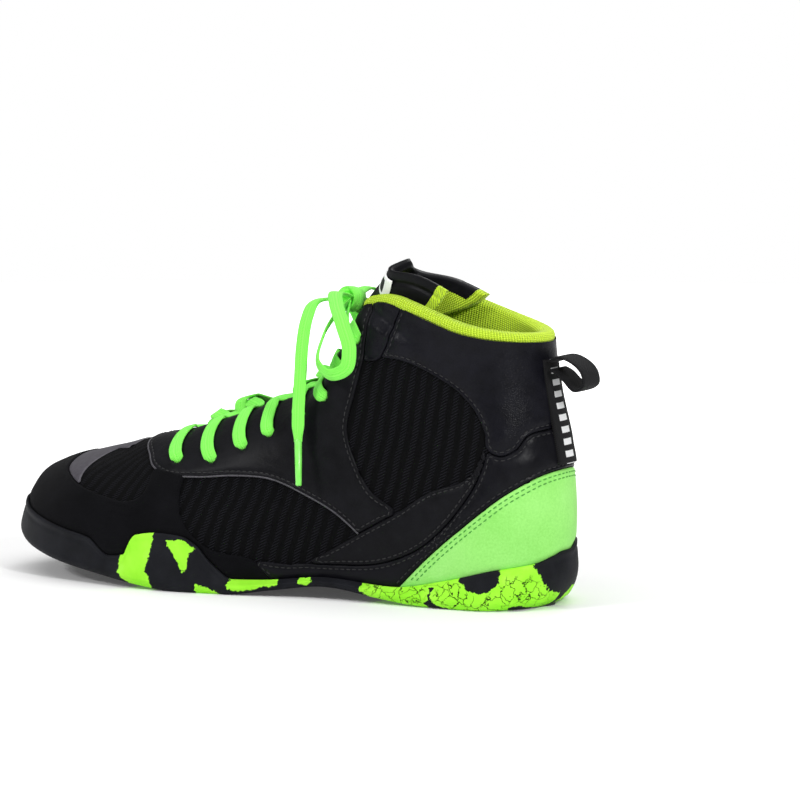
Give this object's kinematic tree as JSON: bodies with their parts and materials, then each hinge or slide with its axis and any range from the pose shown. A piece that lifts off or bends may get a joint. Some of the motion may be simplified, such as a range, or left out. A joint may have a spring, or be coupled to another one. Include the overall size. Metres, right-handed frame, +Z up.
{
  "type": "wrestling shoe",
  "caption": "Ankle-high left wrestling shoe, lace-up, black upper with bright green counter and laces on a thin cupped rubber sole with a marbled sidewall.",
  "frame": {"origin": "on the floor, under the middle of the shoe's box without its hanging laces", "axes": "+X towards the toe, +Y towards the outer (lateral) side, +Z up"},
  "size_m": [0.2942, 0.1018, 0.151],
  "materials": {
    "rubber": "matte marbled black and green rubber",
    "foam": "lined foam",
    "mesh": "knit mesh",
    "leather": "smooth, satin",
    "lining": "ribbed knit",
    "suede": "napped suede",
    "grey": "smooth film",
    "counter": "matte microfibre",
    "webbing": "woven webbing",
    "label": "woven",
    "lace": "flat woven lace",
    "plastic": "clear-coated tip"
  },
  "bodies": {
    "root": {"outsole": "rubber", "insole": "foam", "upper": "mesh", "tongue": "leather", "collar_lining": "lining", "toe_guard": "suede", "toe_patch": "grey", "eyestay": "leather", "band_lateral": "leather", "band_medial": "leather", "ankle_panel": "leather", "heel_panel": "leather", "counter": "counter", "heel_strap": "webbing", "pull_loop": "webbing", "tongue_label": "label", "laces": "lace", "lace_knot": "lace", "lace_loop_lateral": "lace", "lace_loop_medial": "lace", "lace_end_lateral": "lace", "lace_end_medial": "lace", "aglet_lateral": "plastic", "aglet_medial": "plastic"}
  },
  "joints": []
}
